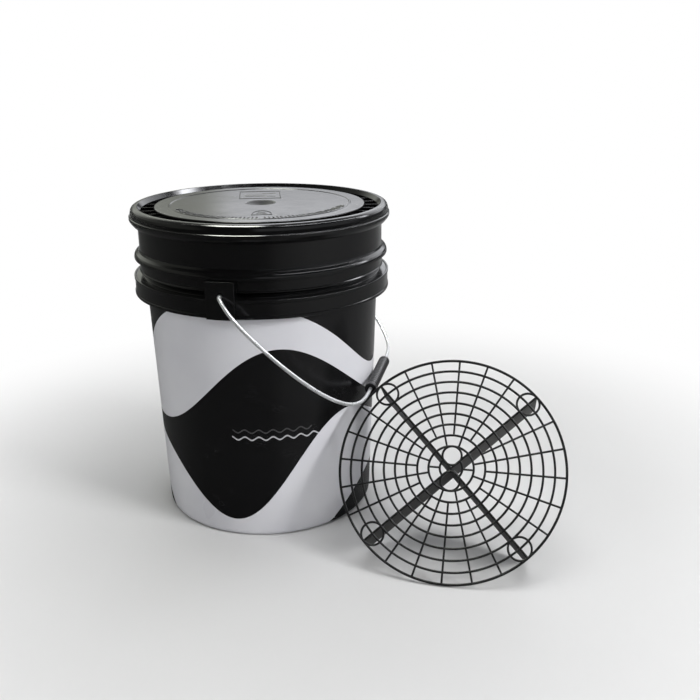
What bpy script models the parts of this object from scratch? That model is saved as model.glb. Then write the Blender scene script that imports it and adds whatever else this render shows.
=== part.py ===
"""Wash bucket with lid, swing handle and grit guard.

The pail stands on z = 0 with its axis on the Z axis. The handle pivots in two
ears on the Y axis and hangs down on the +X side. The grit guard stands on its
edge in front of the pail (-Y), to the +X side, and leans back towards +Y.
Lengths below are in millimetres; the scene is in metres. Angles named _DEG are
in degrees.
"""
import bisect
import math

import bmesh
import bpy
from mathutils import Matrix, Vector
from mathutils.geometry import delaunay_2d_cdt

for old in list(bpy.data.objects):
    bpy.data.objects.remove(old, do_unlink=True)

MM = 0.001
GAP = 0.3                    # clearance left between pieces that touch
SEG = 48                     # facets round the pail and the lid

# ---- pail shell
BASE_R = 128.0               # outer radius at the floor, before the rounded corner
BODY_R_LOW, BODY_Z_LOW = 130.0, 6.0
BODY_R_TOP, BODY_Z_TOP = 138.6, 278.0
WALL = 2.3
FLOOR = 3.0
SKIRT_R = 153.5              # stiffening band that carries the ears
SKIRT_Z0, SKIRT_Z1 = 276.8, 298.1
SKIRT_T = 2.4
SKIRT_IN_R = SKIRT_R - SKIRT_T
FLANGE_Z0 = SKIRT_Z1 - 3.1   # underside of the flange that joins skirt and body
NECK_R = 145.5               # wall between the skirt and the upper rib
RIB_R = 151.7
RIB_Z0, RIB_Z1 = 318.8, 329.4
UPPER_R = 145.0              # wall above the rib
UPPER_IN_R = UPPER_R - WALL
RIM_Z = 372.5
BEAD_R = 147.1

# ---- ears
EAR_R = 156.3                # outer face of the ear boss
EAR_WALL = 2.8               # ear thickness outside the pocket
EAR_HALF_DEG = 6.05
EAR_SIDE_DEG = 1.15          # side wall of the ear beside the pocket
EAR_TOP = 318.3
AXIS_Z = 302.0               # height of the handle pivots
HOLE_R = 2.6
HOLE_Y0, HOLE_Y1 = 151.0, 160.0  # reach of the drill through the ear
HOLE_TURN = 0.1              # roll of the drill's facets, radians

# ---- handle
WIRE_R = 2.2
HEAD_R = 3.9                 # head on each wire end, inside the ear
HEAD_Y0, HEAD_Y1, HEAD_NECK_Y = 149.0, 150.7, 151.1
BEND_START = 157.0           # where the wire turns down outside the ear
BEND_R = 6.4
BAIL_DROP = 197.0            # pivot to the straight middle of the wire
BAIL_HALF = 178.8            # half width across the shoulders
BAIL_FLAT = 54.0             # half length of the straight middle
BAIL_POWER = 2.82            # superellipse exponent of the sides
BAIL_STEPS = 17
BAIL_SPACING = 1.15          # above 1 packs the stations towards the pivots
BAIL_PULL_IN = 20.8          # how far the sides draw in at the pivots
BAIL_PULL_FADE = 20.9        # distance over which the draw-in fades
BAIL_REST_DEG = 46.7         # angle of the hanging handle from the vertical
WIRE_SIDES = 10
GRIP_R = 7.0
GRIP_HALF = 50.0
GRIP_CHAMFER = 1.2
GRIP_SIDES = 20

# ---- printed wrap
LABEL_T = 0.5
LABEL_Z0, LABEL_Z1 = 6.3, 275.5
SEAM_FACET = 8               # facet edge behind which the seam sits
SEAM_HALF_DEG = 0.3

# ---- lid
LID_R = 154.4
PANEL_R = 124.6
PANEL_Z = 376.4
RECESS_Z = 366.0
LID_T = 2.2
PLUG_R = UPPER_IN_R - GAP
SKIN_Z = RECESS_Z - LID_T    # underside of the recess floor
LID_RIBS = 36
LID_RIB_HALF_T = 0.8
LID_RIB_IN, LID_RIB_OUT = PANEL_R - 0.9, PLUG_R - 1.2
LID_RIB_Z0, LID_RIB_Z1 = RECESS_Z - 1.0, RECESS_Z + 6.5
LID_ORIGIN = (0.0, 0.0, PANEL_Z)

# ---- grit guard
RING_STEP = 12.7
RINGS = 10
GRID_R = RINGS * RING_STEP   # centre line of the outermost ring
BAR = 2.5                    # width of rings and spokes
BAR_T = 3.0                  # thickness of the grid
OUTER_BAR = 2.8
VANE_T = 2.6
VANE_DEPTH = 52.5
VANE_BACK_R = 126.0
LEAN_DEG = 37.6              # lean back from the vertical
HUB_X, HUB_Y = 247.0, -112.5


# ------------------------------------------------------------------ helpers
def material(name, color, metallic, roughness):
    mat = bpy.data.materials.new(name)
    mat.use_nodes = True
    bsdf = mat.node_tree.nodes["Principled BSDF"]
    bsdf.inputs["Base Color"].default_value = (*color, 1.0)
    bsdf.inputs["Metallic"].default_value = metallic
    bsdf.inputs["Roughness"].default_value = roughness
    mat.diffuse_color = (*color, 1.0)
    return mat


def add_object(name, shape, origin=(0.0, 0.0, 0.0), mat=None, sharp_deg=30.0):
    """Mesh object from (points in mm, faces), with its origin at a point in mm."""
    points, faces = shape
    mesh = bpy.data.meshes.new(name)
    shift = Vector(origin)
    mesh.from_pydata([(Vector(p) - shift) * MM for p in points], [], faces)
    work = bmesh.new()
    work.from_mesh(mesh)
    bmesh.ops.recalc_face_normals(work, faces=work.faces)
    work.to_mesh(mesh)
    work.free()
    for poly in mesh.polygons:
        poly.use_smooth = True
    mesh.set_sharp_from_angle(angle=math.radians(sharp_deg))
    obj = bpy.data.objects.new(name, mesh)
    obj.location = shift * MM
    bpy.context.scene.collection.objects.link(obj)
    if mat:
        mesh.materials.append(mat)
    return obj


def add_helper(name, shape, **options):
    """Object that only serves as a boolean operand."""
    obj = add_object(name, shape, **options)
    obj.hide_render = True
    obj.display_type = "WIRE"
    return obj


def boolean(obj, other, operation):
    mod = obj.modifiers.new(other.name, "BOOLEAN")
    mod.operation = operation
    mod.solver = "EXACT"
    mod.object = other


def stitch(rows, closed):
    """Faces between rows of point numbers, each row a closed outline. The
    rows either join up end to end or are capped at both ends."""
    faces = []
    following = rows[1:] + rows[:1] if closed else rows[1:]
    for one, two in zip(rows, following):
        for j in range(len(one)):
            k = (j + 1) % len(one)
            corners = [one[j], one[k], two[k], two[j]]
            corners = [v for n, v in enumerate(corners) if v != corners[n - 1]]
            if len(corners) > 2:
                faces.append(corners)
    if not closed:
        faces += [rows[0][::-1], rows[-1]]
    return faces


def numbered_rows(count, size):
    return [[i * size + j for j in range(size)] for i in range(count)]


def revolve(profile, angles=None):
    """Closed (r, z) profile turned about Z: all the way round, or capped at
    the ends of the given angles. A profile point with r = 0 becomes one point
    on the axis."""
    closed = angles is None
    if closed:
        angles = [2 * math.pi * k / SEG for k in range(SEG)]
    points, rows, axis = [], [], {}
    for j, (r, z) in enumerate(profile):
        if r <= 0.0:
            axis[j] = len(points)
            points.append((0.0, 0.0, z))
    for angle in angles:
        row = []
        for j, (r, z) in enumerate(profile):
            if j in axis:
                row.append(axis[j])
            else:
                row.append(len(points))
                points.append((r * math.cos(angle), r * math.sin(angle), z))
        rows.append(row)
    return points, stitch(rows, closed)


def sector(profile, centre_deg, half_deg, steps):
    """Profile turned through a short arc."""
    return revolve(profile, [math.radians(centre_deg - half_deg + 2 * half_deg * k / steps)
                             for k in range(steps + 1)])


def tube(centres, normals, binormal, radii, sides):
    """Solid swept along a path that lies in one plane."""
    points = []
    for centre, normal, radius in zip(centres, normals, radii):
        for k in range(sides):
            a = 2 * math.pi * k / sides
            points.append(centre + radius * (math.cos(a) * normal + math.sin(a) * binormal))
    return points, stitch(numbered_rows(len(centres), sides), closed=False)


# ------------------------------------------------------------------ materials
BLACK_GLOSS = material("pail_black_plastic", color=(0.012, 0.012, 0.013),
                       metallic=0.0, roughness=0.28)
LID_BLACK = material("lid_black_plastic", color=(0.014, 0.014, 0.015),
                     metallic=0.0, roughness=0.32)
LABEL_FILM = material("printed_film", color=(0.62, 0.62, 0.66), metallic=0.0, roughness=0.35)
RUBBER = material("gasket_rubber", color=(0.10, 0.10, 0.10), metallic=0.0, roughness=0.75)
STEEL = material("galvanised_wire", color=(0.72, 0.73, 0.74), metallic=1.0, roughness=0.32)
GRIP_BLACK = material("grip_black_plastic", color=(0.02, 0.02, 0.02),
                      metallic=0.0, roughness=0.45)
GUARD_BLACK = material("guard_black_plastic", color=(0.018, 0.018, 0.018),
                       metallic=0.0, roughness=0.42)


# ------------------------------------------------------------------ pail shell
def body_r(z):
    """Outer radius of the tapered body."""
    t = (z - BODY_Z_LOW) / (BODY_Z_TOP - BODY_Z_LOW)
    return BODY_R_LOW + (BODY_R_TOP - BODY_R_LOW) * t


# (r, z) up the outside, from the centre of the floor to the rim
PAIL_OUTER = [
    # floor with a shallow groove, rounded corner
    (0.0, 0.0), (112.0, 0.0), (113.5, 1.4), (116.5, 1.4), (118.0, 0.0), (BASE_R - 2.0, 0.0),
    (BASE_R + 0.6, 1.5), (BODY_R_LOW - 0.3, 4.0), (BODY_R_LOW, BODY_Z_LOW),
    (BODY_R_TOP, BODY_Z_TOP), (body_r(294.0), 294.0),
    # skirt: flange with a hanging band, open underneath
    (142.0, FLANGE_Z0), (SKIRT_IN_R, FLANGE_Z0), (SKIRT_IN_R, SKIRT_Z0),
    (SKIRT_R - 0.5, SKIRT_Z0), (SKIRT_R, SKIRT_Z0 + 0.5), (SKIRT_R, SKIRT_Z1 - 0.6),
    (SKIRT_R - 0.6, SKIRT_Z1), (SKIRT_R - 1.8, SKIRT_Z1), (SKIRT_R - 2.6, SKIRT_Z1 - 0.8),
    # neck
    (142.6, SKIRT_Z1 - 0.8), (141.4, SKIRT_Z1 + 0.6), (141.4, 301.2), (143.6, 303.2),
    (NECK_R + 1.0, 304.2), (NECK_R + 1.0, 305.4), (NECK_R, 307.2), (NECK_R, RIB_Z0 - 1.2),
    # upper rib
    (NECK_R + 1.4, RIB_Z0), (RIB_R - 0.6, RIB_Z0), (RIB_R, RIB_Z0 + 0.6),
    (RIB_R - 0.3, RIB_Z0 + 2.2), (RIB_R - 0.9, RIB_Z0 + 3.7), (RIB_R - 2.2, RIB_Z0 + 5.6),
    (UPPER_R + 1.8, RIB_Z1 - 2.4), (UPPER_R, RIB_Z1),
    # bead and rim
    (UPPER_R, 361.5), (BEAD_R, 363.2), (BEAD_R, 366.6), (UPPER_R + 0.4, 368.4),
    (UPPER_R, RIM_Z - 0.7), (UPPER_R - 0.7, RIM_Z),
]
# (r, z) down the inside, from the rim to the centre of the floor
PAIL_INNER = [
    (UPPER_IN_R + 0.5, RIM_Z), (UPPER_IN_R, RIM_Z - 0.6), (UPPER_IN_R, 309.6),
    (body_r(302.0) - WALL + 0.2, 303.0), (body_r(294.0) - WALL, 292.0),
    (body_r(8.0) - WALL, 8.0), (body_r(8.0) - WALL - 2.4, FLOOR + 1.2),
    (body_r(8.0) - WALL - 5.5, FLOOR), (0.0, FLOOR),
]
# (r, z) of the ear boss and of the pocket that hollows it from below
BOSS = [
    (137.4, SKIRT_Z0 - 0.5), (EAR_R - 0.6, SKIRT_Z0 - 0.5), (EAR_R, SKIRT_Z0 + 0.1),
    (EAR_R, EAR_TOP - 1.6), (EAR_R - 0.5, EAR_TOP - 0.5), (EAR_R - 1.6, EAR_TOP),
    (144.1, EAR_TOP), (144.1, 309.2), (138.9, 302.8), (138.1, 293.0),
]
POCKET = [
    (141.4, SKIRT_Z0 - 2.0), (EAR_R - EAR_WALL, SKIRT_Z0 - 2.0), (EAR_R - EAR_WALL, 311.5),
    (148.2, 311.5), (148.2, 301.0), (141.4, 296.0),
]


def cut_ear(pail, side, sign):
    """Ear on the -Y (sign -1) or +Y (sign 1) side: boss, pocket and pivot hole."""
    centre_deg = 90.0 * sign
    boss = add_helper("boss_" + side, sector(BOSS, centre_deg, EAR_HALF_DEG, 5))
    pocket = add_helper("pocket_" + side,
                        sector(POCKET, centre_deg, EAR_HALF_DEG - EAR_SIDE_DEG, 3))
    ends = [Vector((0.0, sign * y, AXIS_Z)) for y in (HOLE_Y0, HOLE_Y1)]
    c, s = math.cos(HOLE_TURN), math.sin(HOLE_TURN)
    drill = add_helper("drill_" + side, tube(
        ends, [Vector((c, 0.0, s))] * 2, Vector((-s, 0.0, c)), [HOLE_R] * 2, 16))
    boolean(pail, boss, "UNION")
    boolean(pail, pocket, "DIFFERENCE")
    boolean(pail, drill, "DIFFERENCE")


def build_pail():
    pail = add_object("pail_shell", revolve(PAIL_OUTER + PAIL_INNER), mat=BLACK_GLOSS)
    cut_ear(pail, "front", -1.0)
    cut_ear(pail, "back", 1.0)


# ------------------------------------------------------------------ printed wrap
def build_label():
    """Film round the body, open at a narrow seam. Its facets match the body's."""
    step = 2 * math.pi / SEG
    seam = math.radians(SEAM_HALF_DEG)
    angles = [(SEAM_FACET + k) * step for k in range(SEG + 1)]
    angles[0] += seam
    angles[-1] -= seam
    profile = [(body_r(z) + GAP + out, z) for z, out in (
        (LABEL_Z0, 0.0), (LABEL_Z0, LABEL_T), (LABEL_Z1, LABEL_T), (LABEL_Z1, 0.0))]
    add_object("label_wrap", revolve(profile, angles), mat=LABEL_FILM)


# ------------------------------------------------------------------ lid
# (r, z) over the top, from the centre to the bottom of the outer edge
LID_TOP = [
    # dished centre, panel with a raised ring, recess
    (0.0, PANEL_Z - 3.0), (13.0, PANEL_Z - 2.7), (16.5, PANEL_Z - 1.6), (18.7, PANEL_Z),
    (105.8, PANEL_Z), (106.4, PANEL_Z + 0.5), (107.6, PANEL_Z + 0.5), (108.2, PANEL_Z),
    (PANEL_R - 0.9, PANEL_Z), (PANEL_R, PANEL_Z - 0.9), (PANEL_R, RECESS_Z),
    # rounded edge
    (PLUG_R - 2.2, RECESS_Z), (PLUG_R - 2.0, 374.6), (143.0, 376.6), (144.8, 377.7),
    (147.6, 378.0), (150.2, 377.5), (151.9, 375.8), (152.7, 372.4), (153.3, 368.0),
    (LID_R, 366.9), (LID_R, 363.8), (152.8, 361.4), (150.0, 358.0), (149.0, 357.6),
]
# (r, z) underneath, from the outer edge back to the centre
LID_UNDER = [
    (BEAD_R + GAP, 357.6), (BEAD_R + GAP, 367.4), (148.4, 368.6), (148.4, 375.1),
    (PLUG_R + 0.3, 375.1), (PLUG_R, 374.8), (PLUG_R, 362.4), (PLUG_R - 0.6, 361.6),
    (PLUG_R - 2.0, 361.6), (PLUG_R - 2.2, SKIN_Z), (PANEL_R - LID_T, SKIN_Z),
    (PANEL_R - LID_T, PANEL_Z - LID_T), (20.0, PANEL_Z - LID_T), (17.0, PANEL_Z - 4.0),
    (13.0, PANEL_Z - 5.1), (0.0, PANEL_Z - 5.2),
]
# (r, z) of the gasket between the rim and the lid
GASKET = [
    (143.4, RIM_Z + GAP), (147.4, RIM_Z + GAP), (148.0, RIM_Z + 0.9), (148.0, RIM_Z + 1.8),
    (147.4, RIM_Z + 2.3), (143.4, RIM_Z + 2.3), (142.9, RIM_Z + 1.8), (142.9, RIM_Z + 0.9),
]
BOX_FACES = ((0, 3, 2, 1), (4, 5, 6, 7), (0, 1, 5, 4), (1, 2, 6, 5), (2, 3, 7, 6), (3, 0, 4, 7))


def lid_rib_boxes():
    """Radial ribs standing in the recess."""
    points, faces = [], []
    half = LID_RIB_HALF_T
    for n in range(LID_RIBS):
        turn = Matrix.Rotation(2 * math.pi * (n + 0.5) / LID_RIBS, 4, "Z")
        base = len(points)
        for z in (LID_RIB_Z0, LID_RIB_Z1):
            for x, y in ((LID_RIB_IN, -half), (LID_RIB_OUT, -half),
                         (LID_RIB_OUT, half), (LID_RIB_IN, half)):
                points.append(turn @ Vector((x, y, z)))
        faces += [[base + i for i in quad] for quad in BOX_FACES]
    return points, faces


def build_lid():
    lid = add_object("lid", revolve(LID_TOP + LID_UNDER), origin=LID_ORIGIN, mat=LID_BLACK)
    ribs = add_helper("lid_rib_set", lid_rib_boxes(), origin=LID_ORIGIN)
    boolean(lid, ribs, "UNION")


def build_gasket():
    add_object("lid_gasket", revolve(GASKET), origin=LID_ORIGIN, mat=RUBBER)


# ------------------------------------------------------------------ handle
REST = math.radians(BAIL_REST_DEG)
PIVOT = Vector((0.0, 0.0, AXIS_Z))
ALONG = Vector((0.0, -1.0, 0.0))                         # along the pivot axis
DOWN = Vector((math.sin(REST), 0.0, -math.cos(REST)))    # from the pivots to the grip
ACROSS = ALONG.cross(DOWN)                               # square to the handle's plane
GRIP_CENTRE = PIVOT + DOWN * BAIL_DROP


def bail_path():
    """(s, rho) points from the front (-Y) pivot to the back one: s along the
    pivot axis, rho away from it."""
    half = [(s, 0.0) for s in (HEAD_Y0, HEAD_Y1, HEAD_NECK_Y, BEND_START)]
    for k in range(1, 5):
        a = math.radians(90 * k / 5)
        half.append((BEND_START + BEND_R * math.sin(a), BEND_R * (1 - math.cos(a))))
    for k in range(1, BAIL_STEPS):
        a = 0.5 * math.pi * (k / BAIL_STEPS) ** BAIL_SPACING
        rho = BAIL_DROP * math.sin(a) ** (2 / BAIL_POWER)
        s = BAIL_FLAT + (BAIL_HALF - BAIL_FLAT) * math.cos(a) ** (2 / BAIL_POWER)
        half.append((s - BAIL_PULL_IN * math.exp(-rho / BAIL_PULL_FADE), rho))
    half.append((BAIL_FLAT, BAIL_DROP))
    return half + [(-s, rho) for s, rho in reversed(half)]


def build_bail():
    path = bail_path()
    last = len(path) - 1
    centres, normals, radii = [], [], []
    for n, (s, rho) in enumerate(path):
        centres.append(PIVOT + ALONG * s + DOWN * rho)
        before, after = path[max(n - 1, 0)], path[min(n + 1, last)]
        if 0 < n < last:
            # mitre: widen the section so the wire keeps its thickness at a bend
            arriving = Vector((s - before[0], rho - before[1])).normalized()
            leaving = Vector((after[0] - s, after[1] - rho)).normalized()
            flow = (arriving + leaving).normalized()
            stretch = 1.0 / max(0.75, flow.dot(leaving))
        else:
            flow = Vector((after[0] - before[0], after[1] - before[1])).normalized()
            stretch = 1.0
        normals.append((ALONG * -flow.y + DOWN * flow.x) * stretch)
        radii.append(HEAD_R if min(n, last - n) < 2 else WIRE_R)
    add_object("bail_wire", tube(centres, normals, ACROSS, radii, WIRE_SIDES),
               origin=PIVOT, mat=STEEL, sharp_deg=50.0)


def build_grip():
    """Bored cylinder round the wire's straight middle."""
    bore = WIRE_R + GAP
    # (radius, offset along the wire)
    profile = [
        (bore, -GRIP_HALF), (GRIP_R - GRIP_CHAMFER, -GRIP_HALF),
        (GRIP_R, -GRIP_HALF + GRIP_CHAMFER), (GRIP_R, GRIP_HALF - GRIP_CHAMFER),
        (GRIP_R - GRIP_CHAMFER, GRIP_HALF), (bore, GRIP_HALF),
    ]
    points = []
    for k in range(GRIP_SIDES):
        a = 2 * math.pi * k / GRIP_SIDES
        radial = DOWN * math.cos(a) + ACROSS * math.sin(a)
        points += [GRIP_CENTRE + radial * r + ALONG * offset for r, offset in profile]
    faces = stitch(numbered_rows(GRIP_SIDES, len(profile)), closed=True)
    add_object("bail_grip", (points, faces), origin=GRIP_CENTRE, mat=GRIP_BLACK)


# ------------------------------------------------------------------ grit guard
# The grid is drawn flat about its hub, triangulated, then given depth.
def polar(r, degrees):
    return (r * math.cos(math.radians(degrees)), r * math.sin(math.radians(degrees)))


VANES = [45, 135, 225, 315]            # directions, degrees
# degrees past a vane: number of the ring where the spoke starts
SPOKE_STARTS = {15: 3, 30: 2, 45: 3, 60: 2, 75: 3}
SPOKES = [((vane + past) % 360, ring) for vane in VANES for past, ring in SPOKE_STARTS.items()]
STUBS = [0, 180]                       # short bars between rings 1 and 2
# (direction, first ring, last ring) of every bar
BARS = [(angle, ring, RINGS) for angle, ring in SPOKES] + [(angle, 1, 2) for angle in STUBS]
ARC_HALF_DEG = 45                      # ring 1 is two arcs centred on the stubs
ARC_EDGE_DEG = ARC_HALF_DEG + 1        # its edge lines overrun the arcs
# (centre, radius): two loops beside the hub, one near the end of each vane
LOOPS = [((0.0, 14.6), 10.8), ((0.0, -14.6), 10.8)]
LOOPS += [(polar((RINGS - 1) * RING_STEP, angle), RING_STEP) for angle in VANES]
LOOP_SIDES = 20


def half_angle(half_width, radius):
    """Degrees from a bar's centre line to its side, at a radius."""
    return math.degrees(math.asin(half_width / radius))


def side_angles(angle, width, radius):
    half = half_angle(0.5 * width, radius)
    return {round(angle - half, 6) % 360, round(angle + half, 6) % 360}


def near_stub(angle, limit):
    return min(angle, 360 - angle) < limit or abs(angle - 180) < limit


class Boundary:
    """One edge polygon of a ring, with corners where the spokes meet it."""

    def __init__(self, ring, outward):
        width = OUTER_BAR if ring == RINGS else BAR
        self.radius = ring * RING_STEP + (0.5 if outward else -0.5) * width
        angles = set()
        for angle, start in SPOKES:
            meets = start <= ring < RINGS if outward else ring > start
            angles |= side_angles(angle, BAR, self.radius) if meets else {angle}
        for angle in VANES:
            angles |= side_angles(angle, VANE_T, self.radius)
        if ring >= 6:
            angles |= {(7.5 + 15 * k) % 360 for k in range(24)}
        if ring == 1:
            angles = {a for a in angles if near_stub(a, ARC_EDGE_DEG)} - set(STUBS)
            half = half_angle(0.5 * BAR, self.radius)
            angles |= {half, 360 - half, 180 - half, 180 + half}
        self.angles = sorted(angles)

    def reach(self, angle):
        """Radius of the polygon in a direction."""
        n = bisect.bisect_right(self.angles, angle)
        low = self.angles[n - 1] if n else self.angles[-1] - 360
        high = self.angles[n] if n < len(self.angles) else self.angles[0] + 360
        half = math.radians(high - low) / 2
        middle = math.radians(high + low) / 2
        return self.radius * math.cos(half) / math.cos(math.radians(angle) - middle)


INNER_EDGE = {i: Boundary(i, False) for i in range(1, RINGS + 1)}
OUTER_EDGE = {i: Boundary(i, True) for i in range(1, RINGS + 1)}


def to_line(x, y, degrees):
    """(run, off): place of a point along and beside a line through the hub."""
    c, s = math.cos(math.radians(degrees)), math.sin(math.radians(degrees))
    return x * c + y * s, -x * s + y * c


def from_line(run, off, degrees):
    """Inverse of to_line."""
    c, s = math.cos(math.radians(degrees)), math.sin(math.radians(degrees))
    return run * c - off * s, run * s + off * c


def in_vane(x, y):
    for angle in VANES:
        run, off = to_line(x, y, angle)
        if abs(off) < VANE_T / 2 and -VANE_T < run < GRID_R:
            return True
    return False


def in_grid(x, y):
    r = math.hypot(x, y)
    angle = math.degrees(math.atan2(y, x)) % 360
    for i in range(1, RINGS + 1):
        if i == 1 and not near_stub(angle, ARC_HALF_DEG):
            continue
        if INNER_EDGE[i].reach(angle) < r < OUTER_EDGE[i].reach(angle):
            return True
    for bar_angle, first, last in BARS:
        run, off = to_line(x, y, bar_angle)
        if abs(off) < BAR / 2 and first * RING_STEP < run < last * RING_STEP:
            return True
    for (cx, cy), radius in LOOPS:
        dx, dy = x - cx, y - cy
        turn = math.atan2(dy, dx) % (2 * math.pi / LOOP_SIDES)
        flat = math.cos(math.pi / LOOP_SIDES) / math.cos(turn - math.pi / LOOP_SIDES)
        if (radius - BAR / 2) * flat < math.hypot(dx, dy) < (radius + BAR / 2) * flat:
            return True
    return False


def guard_outlines():
    """Points and edges of every outline in the flat grid."""
    verts, edges = [], []

    def add_line(pairs, closed):
        base, count = len(verts), len(pairs)
        verts.extend(Vector(p) for p in pairs)
        for k in range(count if closed else count - 1):
            edges.append((base + k, base + (k + 1) % count))

    for edge in (INNER_EDGE[1], OUTER_EDGE[1]):
        signed = sorted(a if a < 300 else a - 360 for a in edge.angles)
        for centre in STUBS:
            low, high = centre - ARC_EDGE_DEG, centre + ARC_EDGE_DEG
            add_line([polar(edge.radius, a) for a in signed if low < a < high], False)
    for i in range(2, RINGS + 1):
        for edge in (INNER_EDGE[i], OUTER_EDGE[i]):
            add_line([polar(edge.radius, a) for a in edge.angles], True)

    for angle, first, last in BARS:
        for i in range(first, last):
            for off in (-BAR / 2, BAR / 2):
                add_line([polar(edge.radius, angle + half_angle(off, edge.radius))
                          for edge in (OUTER_EDGE[i], INNER_EDGE[i + 1])], False)

    for (cx, cy), radius in LOOPS:
        for r in (radius - BAR / 2, radius + BAR / 2):
            turns = [2 * math.pi * k / LOOP_SIDES for k in range(LOOP_SIDES)]
            add_line([(cx + r * math.cos(t), cy + r * math.sin(t)) for t in turns], True)

    half = VANE_T / 2
    cross = []
    for angle in VANES:
        for run, off in ((half, -half), (GRID_R, -half), (GRID_R, half)):
            cross.append(from_line(run, off, angle))
    add_line(cross, True)
    return verts, edges


# Levels of the solid, counted from its face. A triangle's level is how deep
# its solid goes; OPEN means there is none.
OPEN, FACE = 0, 0
GRID, VANE = 1, 2
LEVEL_DEPTH = (0.0, BAR_T, VANE_DEPTH)

LEAN = math.radians(LEAN_DEG)
GUARD_NORMAL = Vector((0.0, -math.cos(LEAN), math.sin(LEAN)))
GUARD_U = Vector((1.0, 0.0, 0.0))
GUARD_V = GUARD_NORMAL.cross(GUARD_U)
# high enough for the outer ring to rest on the floor
HUB = Vector((HUB_X, HUB_Y, (GRID_R + OUTER_BAR / 2) * GUARD_V.z + BAR_T * GUARD_NORMAL.z))


def build_guard():
    flat_verts, _, tris, _, _, _ = delaunay_2d_cdt(*guard_outlines(), [], 0, 1e-4)
    levels = []
    for tri in tris:
        x = sum(flat_verts[v].x for v in tri) / 3
        y = sum(flat_verts[v].y for v in tri) / 3
        levels.append(VANE if in_vane(x, y) else GRID if in_grid(x, y) else OPEN)

    points, faces, numbers = [], [], {}

    def node(v, level):
        """Number of the solid's point under a flat point."""
        key = (v, level)
        if key not in numbers:
            x, y = flat_verts[v]
            r = math.hypot(x, y)
            if level == VANE and r > GRID_R - 0.5:
                # the vanes' outer ends slope inwards
                x, y = x * VANE_BACK_R / r, y * VANE_BACK_R / r
            numbers[key] = len(points)
            points.append(GUARD_U * x + GUARD_V * y - GUARD_NORMAL * LEVEL_DEPTH[level])
        return numbers[key]

    def add_side(a, b, upper, lower):
        faces.append([node(b, upper), node(a, upper), node(a, lower), node(b, lower)])

    owner = {}                         # directed edge: triangle it belongs to
    for n, tri in enumerate(tris):
        for k in range(3):
            owner[(tri[k], tri[(k + 1) % 3])] = n
    for tri, level in zip(tris, levels):
        if level == OPEN:
            continue
        faces.append([node(v, FACE) for v in tri])
        faces.append([node(v, level) for v in reversed(tri)])
        for k in range(3):
            a, b = tri[k], tri[(k + 1) % 3]
            beyond = levels[owner[(b, a)]] if (b, a) in owner else OPEN
            if beyond == OPEN:
                add_side(a, b, FACE, GRID)
            if level == VANE and beyond != VANE:
                add_side(a, b, GRID, VANE)
    add_object("grit_guard", ([p + HUB for p in points], faces), origin=HUB,
               mat=GUARD_BLACK, sharp_deg=35.0)


build_pail()
build_label()
build_lid()
build_gasket()
build_bail()
build_grip()
build_guard()
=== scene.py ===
# A black moulded pail with a printed wrap, a ribbed lid, a wire bail and a loose round grid.
#
# The pail stands on z = 0 with its axis on +Z. Its two ears, and the pivots of the bail, are
# at -Y (front) and +Y (back), and the bail hangs out towards +X. The grid stands on the floor
# on the +X side, facing -Y and leaning back towards +Y, with two crossed vanes behind it.
# Geometry is written in millimetres and scaled to metres when a mesh is made.
# In names, _R is a radius and _Z a height above the floor.
import math

import bmesh
import bpy
from mathutils import Matrix, Vector


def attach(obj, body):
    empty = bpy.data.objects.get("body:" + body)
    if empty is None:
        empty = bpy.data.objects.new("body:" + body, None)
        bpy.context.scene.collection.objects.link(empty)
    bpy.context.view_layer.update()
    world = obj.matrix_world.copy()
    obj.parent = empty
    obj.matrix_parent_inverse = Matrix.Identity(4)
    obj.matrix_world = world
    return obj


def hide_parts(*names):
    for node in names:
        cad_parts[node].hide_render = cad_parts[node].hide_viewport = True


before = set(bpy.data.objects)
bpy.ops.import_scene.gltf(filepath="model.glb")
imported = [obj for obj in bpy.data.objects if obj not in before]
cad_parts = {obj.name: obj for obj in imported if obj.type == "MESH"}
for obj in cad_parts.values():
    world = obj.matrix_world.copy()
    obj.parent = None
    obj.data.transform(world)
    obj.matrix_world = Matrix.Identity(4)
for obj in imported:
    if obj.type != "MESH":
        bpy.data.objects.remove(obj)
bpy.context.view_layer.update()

MM = 0.001

# ---------------------------------------------------------------- shared dimensions, mm
SEGMENTS = 192               # steps round a full revolution
GAP = 0.3                    # clearance between fitted parts

BODY_R_LOW, BODY_Z_LOW = 130.0, 6.0
BODY_R_TOP, BODY_Z_TOP = 138.6, 278.0
BASE_R = 128.0
WALL = 2.3
UPPER_R = 145.0              # wall above the rib
RIM_Z = 372.5
BEAD_R = 147.1               # bead below the rim, under the lid
AXIS_Z = 302.0               # pivot of the bail
WIRE_R = 2.2

# ---------------------------------------------------------------- view
EYE = (0.31258, -0.98538, 0.54851)
LOOK = (-0.19140, 0.92433, -0.33012)
RIGHTWARD = (0.97958, 0.20100, -0.00515)
FACE_DEG = -72.4             # side of the pail that faces the viewer


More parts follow.
